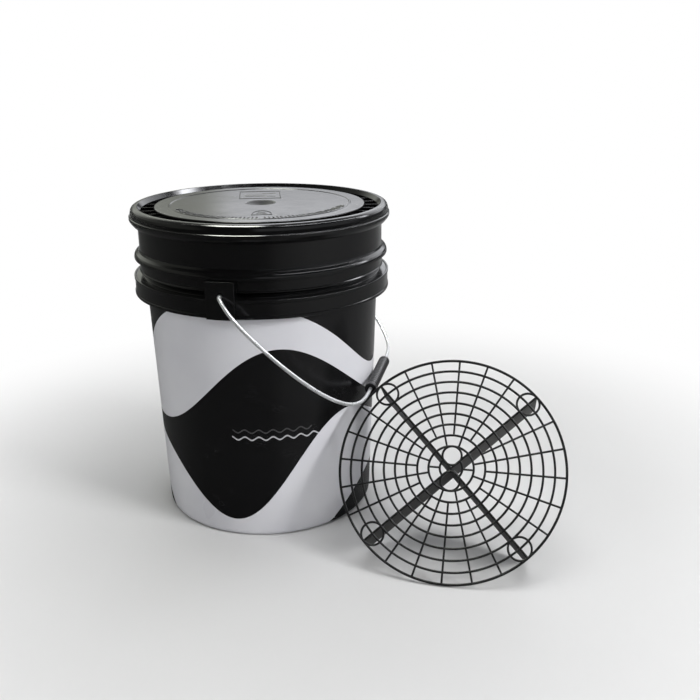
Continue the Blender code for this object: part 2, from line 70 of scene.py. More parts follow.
# ---------------------------------------------------------------- outlines and meshes
def rounded(profile, steps=4):
    """Closed (radius, height, fillet) corners to (radius, height) points with fillets turned."""
    out = []
    for i, (x, y, fillet) in enumerate(profile):
        if fillet <= 0.0 or x <= 0.0:
            out.append((x, y))
            continue
        corner = Vector((x, y))
        to_last = Vector(profile[i - 1][:2]) - corner
        to_next = Vector(profile[(i + 1) % len(profile)][:2]) - corner
        last_length, next_length = to_last.length, to_next.length
        to_last.normalize()
        to_next.normalize()
        angle = math.acos(max(-1.0, min(1.0, to_last.dot(to_next))))
        if angle > math.radians(176) or angle < math.radians(4):
            out.append((x, y))
            continue
        reach = min(fillet / math.tan(angle / 2), 0.47 * last_length, 0.47 * next_length)
        radius = reach * math.tan(angle / 2)
        centre = corner + (to_last + to_next).normalized() * (radius / math.sin(angle / 2))
        first = corner + to_last * reach - centre
        last = corner + to_next * reach - centre
        start, stop = math.atan2(first.y, first.x), math.atan2(last.y, last.x)
        turn = (stop - start + math.pi) % (2 * math.pi) - math.pi
        for k in range(steps + 1):
            a = start + turn * k / steps
            out.append((centre.x + radius * math.cos(a), centre.y + radius * math.sin(a)))
    return out


def revolve(profile, angles=None):
    """(radius, height) outline turned about Z: all the way, or through angles with end caps."""
    full = angles is None
    if full:
        angles = [2 * math.pi * k / SEGMENTS for k in range(SEGMENTS)]
    points, faces, rows, on_axis = [], [], [], {}
    for j, (radius, z) in enumerate(profile):
        if radius <= 0.0:
            on_axis[j] = len(points)
            points.append((0.0, 0.0, z))
    for angle in angles:
        row = []
        for j, (radius, z) in enumerate(profile):
            if j in on_axis:
                row.append(on_axis[j])
            else:
                row.append(len(points))
                points.append((radius * math.cos(angle), radius * math.sin(angle), z))
        rows.append(row)
    for i in range(len(rows) if full else len(rows) - 1):
        here, there = rows[i], rows[(i + 1) % len(rows)]
        for j in range(len(profile)):
            k = (j + 1) % len(profile)
            face = [here[j], here[k], there[k], there[j]]
            face = [v for n, v in enumerate(face) if v != face[n - 1]]
            if len(face) > 2:
                faces.append(face)
    if not full:
        faces += [rows[0][::-1], rows[-1]]
    return points, faces


def sector(profile, centre_deg, half_deg, steps):
    """Block swept about Z either side of a bearing."""
    angles = [math.radians(centre_deg - half_deg + 2 * half_deg * k / steps)
              for k in range(steps + 1)]
    return revolve(profile, angles)


def loft(rings, closed=False):
    """Skin over rings of equally many points, capped unless it closes on itself."""
    count, size = len(rings), len(rings[0])
    faces = []
    for i in range(count if closed else count - 1):
        j = (i + 1) % count
        for k in range(size):
            n = (k + 1) % size
            faces.append([i * size + k, i * size + n, j * size + n, j * size + k])
    if not closed:
        faces.append(list(range(size))[::-1])
        faces.append([(count - 1) * size + k for k in range(size)])
    return [point for ring in rings for point in ring], faces


def round_section(centre, normal, binormal, radius, sides):
    """Ring of points round a centre."""
    angles = [2 * math.pi * k / sides for k in range(sides)]
    return [centre + radius * (math.cos(a) * normal + math.sin(a) * binormal) for a in angles]


def prism(first, second):
    """Solid between two matching end outlines."""
    size = len(first)
    faces = [list(range(size)), list(range(size, 2 * size))[::-1]]
    for i in range(size):
        j = (i + 1) % size
        faces.append([j, i, size + i, size + j])
    return first + second, faces


def joined(parts):
    """Several (points, faces) pairs as one."""
    points, faces = [], []
    for part_points, part_faces in parts:
        base = len(points)
        points += part_points
        faces += [[base + i for i in face] for face in part_faces]
    return points, faces


# ---------------------------------------------------------------- objects
def shade_smooth(mesh, sharp):
    for face in mesh.polygons:
        face.use_smooth = True
    mesh.set_sharp_from_angle(angle=math.radians(sharp))


def make_object(name, shape, material, sharp=32.0):
    """Object from (points, faces) in mm; edges steeper than sharp degrees stay crisp."""
    points, faces = shape
    mesh = bpy.data.meshes.new(name)
    mesh.from_pydata([Vector(point) * MM for point in points], [], faces)
    work = bmesh.new()
    work.from_mesh(mesh)
    bmesh.ops.recalc_face_normals(work, faces=work.faces)
    work.to_mesh(mesh)
    work.free()
    shade_smooth(mesh, sharp)
    obj = bpy.data.objects.new(name, mesh)
    bpy.context.scene.collection.objects.link(obj)
    mesh.materials.append(material)
    return obj


def apply_modifiers(obj):
    graph = bpy.context.evaluated_depsgraph_get()
    mesh = bpy.data.meshes.new_from_object(obj.evaluated_get(graph))
    old = obj.data
    obj.modifiers.clear()
    obj.data = mesh
    bpy.data.meshes.remove(old)


def combine(obj, other, operation):
    """Adds a boolean modifier."""
    mod = obj.modifiers.new(other.name, "BOOLEAN")
    mod.operation = operation
    mod.solver = "EXACT"
    mod.object = other


def soften(obj, width, segments):
    """Rounds the object's sharp edges by width mm."""
    mod = obj.modifiers.new("edge_radius", "BEVEL")
    mod.width = width * MM
    mod.segments = segments
    mod.limit_method = "ANGLE"
    mod.angle_limit = math.radians(50.0)
    mod.use_clamp_overlap = True
    apply_modifiers(obj)


def flatten_shading(*objects):
    """Broad faces keep their own normals; only the small radii between them turn."""
    for obj in objects:
        mod = obj.modifiers.new("face_weighted_normals", "WEIGHTED_NORMAL")
        mod.mode = "FACE_AREA"
        mod.weight = 100
        mod.keep_sharp = True


# ---------------------------------------------------------------- node graphs
class Value:
    """A node's output; arithmetic on it adds Math nodes."""

    def __init__(self, graph, socket):
        self.graph = graph
        self.socket = socket

    def __add__(self, other):
        return self.graph.calc("ADD", self, other)

    def __radd__(self, other):
        return self.graph.calc("ADD", other, self)

    def __sub__(self, other):
        return self.graph.calc("SUBTRACT", self, other)

    def __rsub__(self, other):
        return self.graph.calc("SUBTRACT", other, self)

    def __mul__(self, other):
        return self.graph.calc("MULTIPLY", self, other)

    def __pow__(self, other):
        return self.graph.calc("POWER", self, other)

    def __abs__(self):
        return self.graph.calc("ABSOLUTE", self)

    def scaled(self, by, plus):
        return self.graph.calc("MULTIPLY_ADD", self, by, plus)


class Graph:
    """Adds nodes to a tree; sizes and depths are in mm."""

    def __init__(self, tree, coordinates):
        self.tree = tree
        self.place = self.run("ShaderNodeTexCoord", output=coordinates)

    def put(self, socket, value):
        """Links a Value, or sets a constant; colours are given as three numbers."""
        if isinstance(value, Value):
            self.tree.links.new(value.socket, socket)
            return
        if socket.type == "RGBA":
            value = (*value, 1.0)
        socket.default_value = value

    def node(self, kind, inputs=None, **settings):
        node = self.tree.nodes.new(kind)
        for key, value in settings.items():
            setattr(node, key, value)
        for key, value in (inputs or {}).items():
            self.put(node.inputs[key], value)
        return node

    def run(self, kind, inputs=None, output=0, **settings):
        """Adds a node and gives one of its outputs."""
        return Value(self, self.node(kind, inputs, **settings).outputs[output])

    def calc(self, operation, *values):
        return self.run("ShaderNodeMath", dict(enumerate(values)), operation=operation)

    def vector_calc(self, operation, vector, other):
        return self.run("ShaderNodeVectorMath", {0: vector, 1: other}, output="Value",
                        operation=operation)

    def split(self, value, kind="XYZ"):
        """The three parts of a vector, or of a colour with kind="Color"."""
        node = self.node("ShaderNodeSeparate" + kind, {0: value})
        return [Value(self, output) for output in node.outputs]

    def ramp(self, value, over, to=(0.0, 1.0), **settings):
        """Maps one range onto another, clamped."""
        inputs = dict(enumerate((value, *over, *to)))
        return self.run("ShaderNodeMapRange", inputs, **settings)

    def ease(self, value, over, to=(0.0, 1.0)):
        """A ramp with soft ends."""
        return self.ramp(value, over, to, interpolation_type="SMOOTHSTEP")

    def mix(self, factor, first, second):
        """Blends two colours."""
        return self.run("ShaderNodeMix", {0: factor, 6: first, 7: second}, output=2,
                        data_type="RGBA")

    def blend(self, factor, first, second):
        """Blends two numbers."""
        return self.run("ShaderNodeMix", {0: factor, 2: first, 3: second}, data_type="FLOAT")


class Material(Graph):
    """A material built round one Principled shader."""

    def __init__(self, name):
        self.data = bpy.data.materials.new(name)
        self.data.use_nodes = True
        super().__init__(self.data.node_tree, "Object")
        self.shader = self.tree.nodes["Principled BSDF"]

    def set(self, **inputs):
        for key, value in inputs.items():
            self.put(self.shader.inputs[key.replace("_", " ")], value)

    def noise(self, size, detail=2.0, rough=0.5, vector=None):
        return self.run("ShaderNodeTexNoise", {
            "Vector": vector or self.place, "Scale": 1000.0 / size,
            "Detail": detail, "Roughness": rough}, output="Fac")

    def cells(self, size):
        """Distance from each cell's middle, and a colour for each cell."""
        node = self.node("ShaderNodeTexVoronoi", {"Vector": self.place, "Scale": 1000.0 / size})
        return Value(self, node.outputs["Distance"]), Value(self, node.outputs["Color"])

    def stretched(self, *scale):
        return self.run("ShaderNodeMapping", {"Vector": self.place, "Scale": scale})

    def threads(self, noise, width):
        """Thin lines where a noise crosses its middle level."""
        return self.ramp(abs(noise - 0.5), over=(0.0, width), to=(1.0, 0.0))

    def bump(self, height, depth, strength=1.0, normal=None):
        inputs = {"Strength": strength, "Distance": depth * MM, "Height": height}
        if normal is not None:
            inputs["Normal"] = normal
        return self.run("ShaderNodeBump", inputs)


# ---------------------------------------------------------------- materials
def moulded(name, base, rough, dust, wave=0.28, peel=0.0035, scratch=0.5,
            scuff=None, painted_light_plane=None, gate=None):
    """Moulded plastic: slow waviness, fine peel, hairline scratches, dust on top faces.

    dust     brightness that dust adds to the base colour
    silt     direction and offset of a plane beyond which a lighter grey is painted, standing in for the light on the faces behind it
    peel     depth of the fine texture
    scratch  strength of the scratches
    scuff    heights between which a worn foot fades out
    silt     direction and offset of a plane beyond which dried dust lies
    gate     radius of a matt disc round the axis
    """
    mat = Material(name)
    slow = mat.noise(size=26.0)
    medium = mat.noise(size=7.0, detail=3.0, rough=0.6)
    fine = mat.noise(size=0.9)

    # scratches: thin bands of noise stretched along X and along Y, in patches
    along_x = mat.noise(size=1.6, detail=1.0, vector=mat.stretched(0.06, 1.0, 1.0))
    along_y = mat.noise(size=1.4, detail=1.0, vector=mat.stretched(1.0, 0.05, 0.8))
    hair = mat.calc("MAXIMUM", mat.threads(along_x, width=0.012),
                    mat.threads(along_y, width=0.010))
    patch = mat.ramp(medium, over=(0.52, 0.70))
    hair = hair * (patch * scratch)
    speck = mat.ramp(mat.cells(size=5.5)[0], over=(0.0, 0.05), to=(1.0, 0.0))
    normal_z = mat.split(mat.run("ShaderNodeNewGeometry", output="Normal"))[2]
    top = mat.ramp(normal_z, over=(0.55, 0.98))
    clouds = mat.noise(size=34.0, detail=4.0, rough=0.6)
    haze = top * mat.ramp(clouds, over=(0.25, 0.75), to=(0.35, 1.0))

    def lighter(amount):
        return tuple(min(1.0, part + amount) for part in base)

    colour = mat.mix(haze * 0.9, base, lighter(dust))
    colour = mat.mix(hair * 0.35, colour, lighter(0.06))
    colour = mat.mix(speck * top.scaled(by=0.35, plus=0.05), colour, (0.22, 0.22, 0.21))
    rougher = [(hair, 0.20), (haze, 0.06)]      # masks and the roughness they add
    if scuff is not None:
        z = mat.split(mat.place)[2]
        worn = mat.ramp(z, over=(scuff[0] * MM, scuff[1] * MM), to=(1.0, 0.0))
        worn = worn * mat.ramp(mat.noise(size=3.0, detail=4.0, rough=0.7), over=(0.42, 0.62))
        colour = mat.mix(worn * 0.6, colour, lighter(0.07))
        rougher.append((worn, 0.25))
    # painted light: faces beyond the plane get a patchy lighter grey, standing in for the light
    # the vane sides catch behind their darker front edges
    if painted_light_plane is not None:
        direction, offset = painted_light_plane
        depth = mat.vector_calc("DOT_PRODUCT", mat.place, direction) - offset
        clouds = mat.noise(size=11.0, detail=4.0, rough=0.65)
        film = (mat.ramp(depth, over=(1.5 * MM, 5.0 * MM))
                * mat.ramp(clouds, over=(0.30, 0.62), to=(0.55, 1.0)))
        colour = mat.mix(film, colour, (0.085, 0.085, 0.082))
        rougher.append((film, 0.35))
    if gate is not None:
        x, y, z = mat.split(mat.place)
        from_axis = mat.calc("SQRT", x ** 2.0 + y ** 2.0)
        matt = mat.ramp(from_axis, over=((gate - 1.6) * MM, gate * MM), to=(1.0, 0.0))
        rougher.append((matt, 0.18))
        mat.set(Specular_IOR_Level=mat.blend(matt, 0.5, 0.10))

    roughness = mat.ramp(slow, over=(0.3, 0.7), to=(rough - 0.035, rough + 0.05))
    for mask, amount in rougher:
        roughness = roughness + mask * amount
    normal = mat.bump(slow, depth=wave, strength=0.10)
    normal = mat.bump(fine, depth=peel, normal=normal)
    normal = mat.bump(1.0 - hair, depth=0.006 * scratch, normal=normal)
    mat.set(Base_Color=colour, Roughness=mat.calc("MINIMUM", roughness, 0.95),
            Normal=normal, IOR=1.5)
    return mat.data


def printed_film():
    """Wrap print: broad two-tone waves and two wavy rules, repeated twice round the pail."""
    mat = Material("printed_wave_film")
    x, y, z = mat.split(mat.place)
    height = z * 1000.0
    bearing = mat.calc("ARCTAN2", y, x) - math.radians(FACE_DEG)
    phase = bearing * 2.0
    edge_blur = (-0.12, 0.12)       # mm either side of a printed edge

    def sine(shift, by=1.0):
        return mat.calc("SINE", phase.scaled(by=by, plus=shift))

    def bell(shift):
        """0 to 1 and back, once in each repeat."""
        return mat.calc("COSINE", phase + shift).scaled(by=0.5, plus=0.5)

    # black areas, each as a distance that is negative inside: a middle wave, an upper, a foot
    swell = bell(0.34)
    centre = 134.0 + (sine(0.34) * 33.0 + sine(0.68 - 0.9, by=2.0) * 9.0)
    half_width = (swell ** 2.3).scaled(by=86.0, plus=12.0)
    middle = abs(height - centre) - half_width
    swell = bell(-2.55)
    centre = swell.scaled(by=-40.0, plus=295.0)
    half_width = (swell ** 2.2).scaled(by=62.0, plus=6.0)
    upper = abs(height - centre) - half_width
    foot = height - (swell ** 1.6).scaled(by=78.0, plus=-30.0)
    edge = mat.calc("MINIMUM", middle, mat.calc("MINIMUM", upper, foot))
    pale = mat.ramp(edge, over=edge_blur)

    # distance round the wall from the facing side, or from the side opposite it
    across = mat.calc("ARCTANGENT", mat.calc("TANGENT", bearing)) * 134.0
    wiggle = mat.calc("SINE", across * (2 * math.pi / 16.0)) * 2.0

    def rule(level, start, stop):
        line = abs(height - wiggle - level) - 0.95
        ends = mat.calc("MAXIMUM", across - stop, start - across)
        return mat.ramp(mat.calc("MAXIMUM", line, ends), over=edge_blur, to=(1.0, 0.0))

    grey_rule = rule(level=138.0, start=-42.0, stop=50.0)
    pale_rule = rule(level=129.0, start=-43.0, stop=75.0)

    # print grain, slow drift of tone and soft upright ripples from the wrapping
    grain = mat.noise(size=0.6, rough=0.6)
    drift = mat.noise(size=70.0, detail=3.0)
    unrolled = mat.run("ShaderNodeCombineXYZ",
                       {0: mat.calc("ARCTAN2", y, x) * 0.134, 1: z * 0.08})
    ripple = mat.noise(size=15.0, rough=0.45, vector=unrolled)
    white = mat.mix(mat.ramp(drift, over=(0.3, 0.7)),
                    (0.660, 0.660, 0.700), (0.705, 0.705, 0.735))
    white = mat.mix(mat.ramp(grain, over=(0.35, 0.65), to=(0.0, 0.10)),
                    white, (0.58, 0.58, 0.61))
    black = mat.mix(mat.ramp(grain, over=(0.35, 0.65), to=(0.0, 0.5)),
                    (0.0046, 0.0046, 0.005), (0.0066, 0.0066, 0.007))
    black = mat.mix(grey_rule * 0.9, black, (0.060, 0.060, 0.062))
    black = mat.mix(pale_rule * 0.95, black, (0.50, 0.50, 0.52))
    colour = mat.mix(pale, black, white)

    # rubbed marks in patches, stronger low down
    rub = mat.noise(size=2.2, rough=0.6, vector=mat.stretched(0.25, 0.25, 1.0))
    rub = mat.threads(rub, width=0.014)
    rub = rub * mat.ramp(mat.noise(size=30.0), over=(0.56, 0.70))
    rub = rub * mat.ramp(z, over=(0.0, 0.28), to=(1.0, 0.35))
    colour = mat.mix(rub * 0.12, colour, (0.33, 0.33, 0.34))
    roughness = mat.blend(pale, mat.ramp(drift, over=(0.3, 0.7), to=(0.19, 0.25)),
                          mat.ramp(drift, over=(0.3, 0.7), to=(0.27, 0.34)))
    normal = mat.bump(ripple, depth=0.22, strength=0.55)
    normal = mat.bump(grain, depth=0.0022, normal=normal)
    mat.set(Base_Color=colour, Roughness=roughness + rub * 0.15, Normal=normal, IOR=1.45)
    return mat.data


def galvanised_steel():
    """Bright wire with fine zinc spangle."""
    mat = Material("galvanised_bright_wire")
    spangle = mat.cells(size=1.8)[1]
    slow = mat.noise(size=9.0, detail=3.0, rough=0.6)
    drawn = mat.noise(size=0.5, rough=0.6)
    red, green, _ = mat.split(spangle, "Color")
    colour = mat.mix(mat.ramp(red, over=(0.0, 1.0)), (0.62, 0.63, 0.64), (0.80, 0.81, 0.82))
    colour = mat.mix(mat.ramp(slow, over=(0.55, 0.75), to=(0.0, 0.5)),
                     colour, (0.50, 0.50, 0.50))
    roughness = mat.ramp(slow, over=(0.3, 0.7), to=(0.24, 0.38)) + green * 0.06
    mat.set(Base_Color=colour, Metallic=0.62, Roughness=roughness,
            Normal=mat.bump(drawn, depth=0.010))
    return mat.data


def gasket_foam():
    """Dark, fine-celled foam."""
    mat = Material("gasket_foam")
    distance = mat.cells(size=0.7)[0]
    slow = mat.noise(size=12.0)
    colour = mat.mix(mat.ramp(distance, over=(0.1, 0.6)),
                     (0.05, 0.05, 0.05), (0.13, 0.13, 0.125))
    colour = mat.mix(mat.ramp(slow, over=(0.4, 0.7), to=(0.0, 0.4)),
                     colour, (0.10, 0.098, 0.09))
    mat.set(Base_Color=colour, Roughness=mat.ramp(slow, over=(0.3, 0.7), to=(0.82, 0.92)),
            Normal=mat.bump(distance, depth=0.12))
    return mat.data


# ---------------------------------------------------------------- pail shell
FLOOR = 3.0
SKIRT_R, SKIRT_Z0, SKIRT_Z1, SKIRT_T = 153.5, 276.8, 298.1, 2.4
NECK_R = 145.5
RIB_R, RIB_Z0, RIB_Z1 = 151.7, 318.8, 329.4
EAR_R, EAR_HALF_DEG, EAR_TOP = 156.3, 6.05, 318.3
HOLE_R = 2.6                                  # pivot hole in each ear
WALL_ROWS = [50.0, 100.0, 150.0, 200.0, 250.0]


def body_r(z):
    """Outer radius of the tapered wall."""
    up = (z - BODY_Z_LOW) / (BODY_Z_TOP - BODY_Z_LOW)
    return BODY_R_LOW + (BODY_R_TOP - BODY_R_LOW) * up


# radius, height, fillet: from the axis under the base, up the outside to the rim
PAIL_OUTER = [
    (0.0, 0.0, 0),
    # groove under the base, and the rounded foot
    (112.0, 0.0, 0.5), (113.5, 1.4, 0.5), (116.5, 1.4, 0.5), (118.0, 0.0, 0.5),
    (BASE_R - 2.0, 0.0, 1.6), (BASE_R + 0.6, 1.5, 1.8),
    (BODY_R_LOW - 0.3, 4.0, 2.0), (BODY_R_LOW, BODY_Z_LOW, 2.0),
    # wall, then the inside, foot, outside and top of the skirt
    (BODY_R_TOP, BODY_Z_TOP, 0), (body_r(294.0), 294.0, 1.0), (142.0, SKIRT_Z1 - 3.1, 1.0),
    (SKIRT_R - SKIRT_T, SKIRT_Z1 - 3.1, 1.2), (SKIRT_R - SKIRT_T, SKIRT_Z0, 0.3),
    (SKIRT_R, SKIRT_Z0, 0.7), (SKIRT_R, SKIRT_Z0 + 3.0, 0.6),
    (SKIRT_R - 0.7, SKIRT_Z0 + 3.9, 0.6), (SKIRT_R - 0.9, SKIRT_Z1 - 4.0, 0.6),
    (SKIRT_R - 0.2, SKIRT_Z1 - 3.2, 0.6), (SKIRT_R - 0.2, SKIRT_Z1, 0.55),
    (SKIRT_R - 1.9, SKIRT_Z1, 0.5), (SKIRT_R - 2.9, SKIRT_Z1 - 1.1, 0.6),
    # neck
    (141.4, SKIRT_Z1 - 1.1, 1.2), (141.4, 302.2, 1.6), (144.6, 304.0, 0.8),
    (NECK_R + 1.0, 304.3, 0.5), (NECK_R + 1.0, 305.5, 0.5), (NECK_R + 0.1, 306.6, 0.8),
    (NECK_R, RIB_Z0 - 0.2, 1.0),
    # rib
    (RIB_R - 0.2, RIB_Z0, 0.6), (RIB_R - 0.3, RIB_Z0 + 2.6, 2.0),
    (RIB_R - 0.8, RIB_Z0 + 4.2, 1.6), (RIB_R - 2.0, RIB_Z0 + 5.9, 1.4),
    (UPPER_R + 2.9, RIB_Z1 - 3.5, 1.0), (UPPER_R + 1.2, RIB_Z1 - 2.2, 0.8),
    (UPPER_R, RIB_Z1 + 0.2, 1.2),
    # upper wall, bead and rim
    (UPPER_R, 361.5, 0.8), (BEAD_R, 363.2, 0.6), (BEAD_R, 366.6, 0.8),
    (UPPER_R + 0.4, 368.4, 0.8), (UPPER_R, RIM_Z, 0.9),
]
# radius, height, fillet: from the rim down the inside to the axis
PAIL_INNER = [
    (UPPER_R - WALL, RIM_Z, 0.9), (UPPER_R - WALL, 309.6, 2.0),
    (body_r(302.0) - WALL + 0.2, 303.0, 3.0), (body_r(294.0) - WALL, 292.0, 3.0),
    (body_r(8.0) - WALL, 8.0, 1.0), (body_r(8.0) - WALL - 1.2, FLOOR + 1.0, 3.0),
    (body_r(8.0) - WALL - 5.5, FLOOR, 4.0), (60.0, FLOOR, 0), (0.0, FLOOR, 0),
]
# radius, height: the solid ear, and the pocket that hollows it from below
BOSS = [
    (137.4, SKIRT_Z0 - 0.5), (EAR_R, SKIRT_Z0 - 0.5), (EAR_R, EAR_TOP), (144.1, EAR_TOP),
    (144.1, 309.2), (138.9, 302.8), (138.1, 293.0),
]
POCKET = [
    (141.4, SKIRT_Z0 - 2.0), (EAR_R - 2.8, SKIRT_Z0 - 2.0), (EAR_R - 2.8, 311.5),
    (148.2, 311.5), (148.2, 301.0), (141.4, 296.0),
]
# distance from the pail's axis, radius: the pivot hole and its countersink
DRILL = [(151.0, HOLE_R), (153.2, HOLE_R), (156.4, HOLE_R + 2.2), (160.0, HOLE_R + 4.7)]
DRILL_PHASE = 0.1                             # turn of the drill's facets, radians


def with_rows(profile, heights):
    """Adds points on the long straight walls, so that shading has rows to hold on to."""
    out = []
    for i, (r1, z1) in enumerate(profile):
        out.append((r1, z1))
        r2, z2 = profile[(i + 1) % len(profile)]
        if abs(z2 - z1) > 60.0:
            between = sorted((z for z in heights if min(z1, z2) < z < max(z1, z2)),
                             reverse=z2 < z1)
            out += [(r1 + (r2 - r1) * (z - z1) / (z2 - z1), z) for z in between]
    return out


def build_pail(plastic):
    profile = with_rows(rounded(PAIL_OUTER + PAIL_INNER), WALL_ROWS)
    pail = make_object("pail_shell_body", revolve(profile), plastic)
    normal = Vector((math.cos(DRILL_PHASE), 0.0, math.sin(DRILL_PHASE)))
    binormal = Vector((-math.sin(DRILL_PHASE), 0.0, math.cos(DRILL_PHASE)))
    helpers = []
    for side, sign in (("front", -1.0), ("back", 1.0)):
        centre = sign * 90.0
        boss = make_object("boss_" + side, sector(BOSS, centre, EAR_HALF_DEG, steps=9), plastic)
        soften(boss, width=0.75, segments=4)
        pocket = make_object("pocket_" + side,
                             sector(POCKET, centre, EAR_HALF_DEG - 1.15, steps=7), plastic)
        rings = [round_section(Vector((0.0, sign * distance, AXIS_Z)), normal, binormal,
                               radius, sides=40) for distance, radius in DRILL]
        drill = make_object("drill_" + side, loft(rings), plastic)
        combine(pail, boss, "UNION")
        combine(pail, pocket, "DIFFERENCE")
        combine(pail, drill, "DIFFERENCE")
        helpers += [boss, pocket, drill]
    bpy.context.view_layer.update()
    apply_modifiers(pail)
    shade_smooth(pail.data, 30.0)
    for helper in helpers:
        bpy.data.objects.remove(helper, do_unlink=True)
    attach(pail, "pail")
    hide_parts("pail_shell")
    return pail


# ---------------------------------------------------------------- printed wrap
LABEL_T, LABEL_Z0, LABEL_Z1 = 0.5, 6.3, 275.5
LABEL_ROWS, LABEL_STEPS = 12, 256
LABEL_CHAMFER = 0.15
SEAM, SEAM_HALF_GAP = math.radians(60.0), math.radians(0.3)
# radius, height, from the bottom up on the inside and down on the outside of the tucked foot
LABEL_FOOT = [
    (BODY_R_LOW - 0.05, 4.1), (BASE_R + 1.15, 2.3), (BASE_R + 0.2, 1.1),
    (BASE_R + 0.6, 0.75), (BASE_R + 1.65, 2.0), (BODY_R_LOW + 0.52, 3.9),
]


def build_label(film):
    turn = 2 * math.pi - 2 * SEAM_HALF_GAP
    angles = [SEAM + SEAM_HALF_GAP + turn * k / LABEL_STEPS for k in range(LABEL_STEPS + 1)]
    heights = [LABEL_Z0 + (LABEL_Z1 - LABEL_Z0) * k / LABEL_ROWS for k in range(LABEL_ROWS + 1)]
    outer = [(body_r(z) + GAP + LABEL_T, z) for z in heights]
    top_r, top_z = outer[-1]
    outer[-1] = (top_r, top_z - LABEL_CHAMFER)
    profile = [(body_r(LABEL_Z0) + GAP, LABEL_Z0), *LABEL_FOOT, *outer,
               (top_r - LABEL_CHAMFER, LABEL_Z1), (body_r(LABEL_Z1) + GAP, LABEL_Z1)]
    label = make_object("label_wrap_film", revolve(profile, angles), film, sharp=50.0)
    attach(label, "pail")
    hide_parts("label_wrap")
    return label


# ---------------------------------------------------------------- lid
LID_R, LID_T = 154.4, 2.2
PANEL_R, PANEL_Z = 124.6, 376.4               # raised middle panel
RECESS_Z = 366.0                              # floor of the channel round the panel
LID_RIBS = 36                                 # radial ribs in the channel
PLUG_R = UPPER_R - WALL - GAP                 # part that fits inside the rim
SLOPE_R, SLOPE_Z = PLUG_R - 2.0, 373.0        # foot of the slope up to the crown
CROWN_R, CROWN_Z = 144.2, 378.0
# extra rows that keep the shading flat on that slope
CROWN_SLOPE = [(SLOPE_R + (CROWN_R - SLOPE_R) * part, SLOPE_Z + (CROWN_Z - SLOPE_Z) * part, 0)
               for part in (0.14, 0.92)]

# radius, height, fillet: from the axis over the top to the skirt's lower edge
LID_TOP = [
    # dish in the middle
    (0.0, PANEL_Z - 3.6, 0), (3.0, PANEL_Z - 3.5, 1.5), (4.4, PANEL_Z - 3.2, 0),
    (10.5, PANEL_Z - 1.85, 0), (17.9, PANEL_Z - 0.19, 0), (18.7, PANEL_Z, 0.3),
    (19.5, PANEL_Z, 0), (60.0, PANEL_Z, 0), (104.6, PANEL_Z, 0),
    # raised line, then the panel's edge
    (105.8, PANEL_Z, 0.3), (106.4, PANEL_Z + 0.5, 0.3), (107.6, PANEL_Z + 0.5, 0.3),
    (108.2, PANEL_Z, 0.3), (109.4, PANEL_Z, 0), (PANEL_R - 2.6, PANEL_Z, 0),
    (PANEL_R, PANEL_Z, 1.2),
    # channel, crown and skirt
    (PANEL_R, RECESS_Z, 1.2), (PLUG_R - 2.2, RECESS_Z, 1.2), (SLOPE_R, SLOPE_Z, 0.5),
    *CROWN_SLOPE, (CROWN_R, CROWN_Z, 0.25), (144.8, CROWN_Z, 0), (147.6, 377.9, 1.0),
    (149.2, 377.3, 1.5), (150.7, 376.2, 2.0), (151.8, 374.5, 2.0), (152.5, 371.8, 2.0),
    (153.0, 367.9, 0.6), (LID_R - 0.2, 367.1, 0.8), (LID_R - 0.1, 363.9, 0.7),
    (152.8, 361.4, 1.4), (150.0, 358.0, 0.5), (149.0, 357.6, 0.3),
]
# radius, height, fillet: from the skirt's lower edge back to the axis underneath
LID_UNDER = [
    (BEAD_R + GAP, 357.6, 0.3), (BEAD_R + GAP, 367.4, 0.6), (148.4, 368.6, 0.6),
    (148.4, 375.1, 0.3), (PLUG_R, 375.1, 0.2), (PLUG_R, 361.6, 0.6),
    (PLUG_R - 2.0, 361.6, 0.6), (PLUG_R - 2.2, RECESS_Z - LID_T, 0.6),
    (PANEL_R - LID_T, RECESS_Z - LID_T, 0.6), (PANEL_R - LID_T, PANEL_Z - LID_T, 0.8),
    (20.0, PANEL_Z - LID_T, 1.0), (17.0, PANEL_Z - 4.0, 2.0), (13.0, PANEL_Z - 5.1, 2.0),
    (0.0, PANEL_Z - 5.2, 0),
]
# sideways, height: section of one rib
LID_RIB = [
    (-0.95, RECESS_Z - 1.0), (0.95, RECESS_Z - 1.0), (0.62, RECESS_Z + 6.1),
    (0.40, RECESS_Z + 6.42), (0.0, RECESS_Z + 6.5), (-0.40, RECESS_Z + 6.42),
    (-0.62, RECESS_Z + 6.1),
]


def build_lid(plastic):
    lid = make_object("lid_body", revolve(rounded(LID_TOP + LID_UNDER)), plastic)
    parts = []
    for n in range(LID_RIBS):
        turn = Matrix.Rotation(2 * math.pi * (n + 0.5) / LID_RIBS, 4, "Z")
        inner, outer = [[turn @ Vector((x, y, z)) for y, z in LID_RIB]
                        for x in (PANEL_R - 0.8, PLUG_R - 1.2)]
        parts.append(prism(inner, outer))
    ribs = make_object("lid_stiffening_ribs", joined(parts), plastic, sharp=40.0)
    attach(lid, "lid")
    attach(ribs, "lid")
    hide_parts("lid")
    return lid, ribs


# ---------------------------------------------------------------- moulded marks on the lid
# Points are (across, away): to the viewer's right, and away from the viewer.
MARK_Z = PANEL_Z - 0.05
LINE = (1.1, 0.45)                            # width and height of the outlines
MARK_SECTION = [(-0.5, 0.0), (0.5, 0.0), (0.36, 0.8), (0.0, 1.0), (-0.36, 0.8)]
FRAME = [(-25.0, 30.0), (25.0, 30.0), (25.0, 84.0), (-25.0, 84.0)]
# away, from across, to across
FRAME_DASHES = [(45.0, -18.0, 18.0), (55.0, -18.0, 5.0), (67.0, 4.0, 19.0)]
DISC_DASHES = [(-74.0, -4.0, 6.0), (-66.0, -2.0, 4.0)]
DISC_ARC = [(1.0 + 11.0 * math.cos(math.radians(a)), -82.0 + 26.0 * math.sin(math.radians(a)))
            for a in range(0, 181, 15)]
TICKS_EACH_SIDE, TICK_DEG = 27, 2.6


